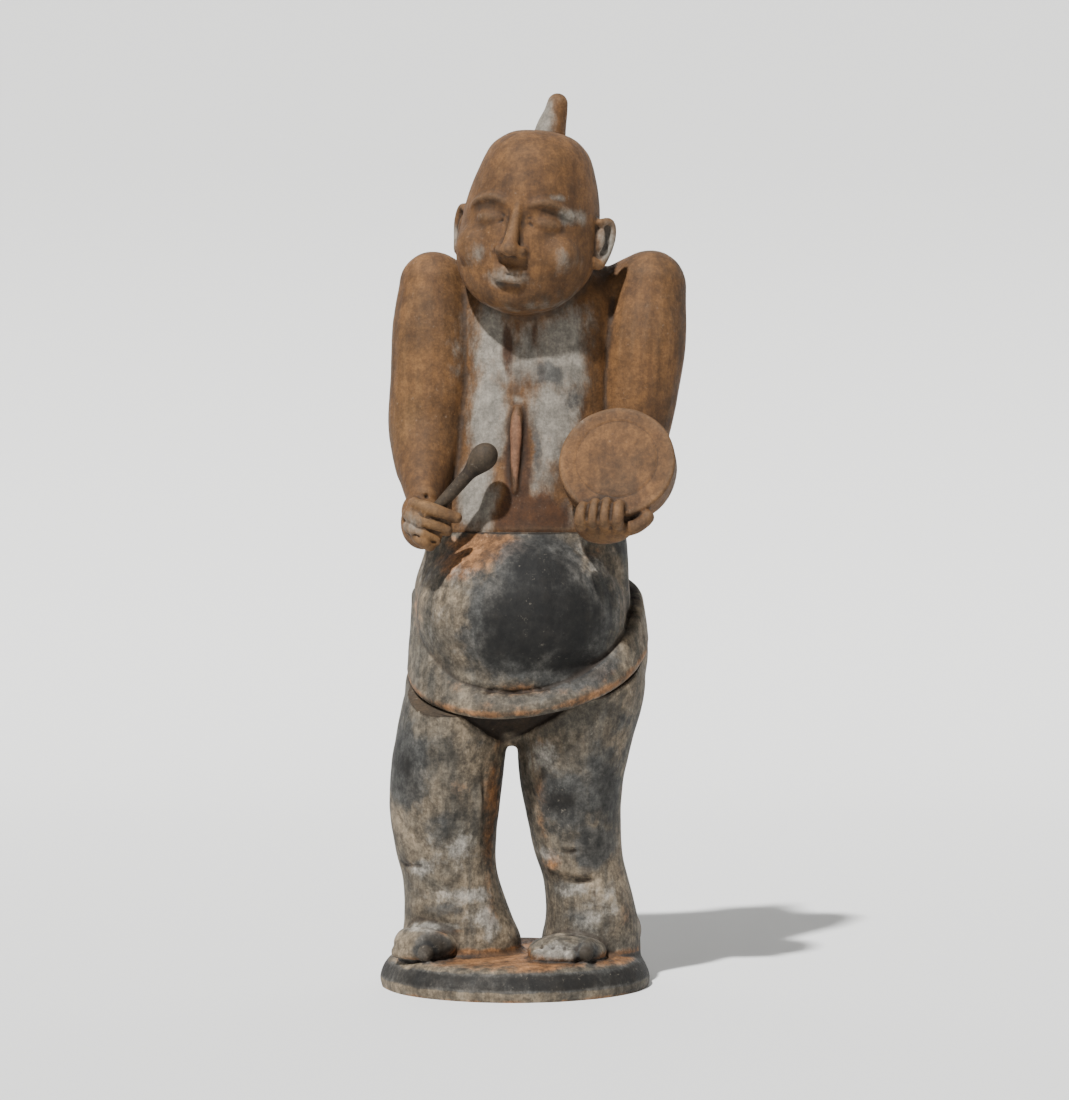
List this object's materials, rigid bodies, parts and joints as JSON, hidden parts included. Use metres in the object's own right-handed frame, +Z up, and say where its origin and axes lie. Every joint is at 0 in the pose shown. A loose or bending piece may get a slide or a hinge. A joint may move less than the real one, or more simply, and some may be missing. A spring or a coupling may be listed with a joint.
{
  "type": "clay figurine",
  "caption": "Standing bare-chested drummer of fired clay in stacked sections, with a flat drum, a loose drum stick, a topknot and an oval base.",
  "frame": {"origin": "middle of the underside of the oval base", "axes": "+Z up; the figure faces -Y; +X is the figure's left"},
  "size_m": [0.5162, 0.4665, 1.4993],
  "materials": {
    "brown_clay": "matte fired clay, warm brown with chalky wash on the chest",
    "smoked_clay": "matte fired clay, grey-brown with charcoal smoke patches",
    "dark_clay": "matte fired clay, dark grey-brown"
  },
  "bodies": {
    "root": {"legs_and_base": "smoked_clay", "belly_section": "smoked_clay", "upper_body": "brown_clay", "drum_stick": "dark_clay"}
  },
  "joints": []
}
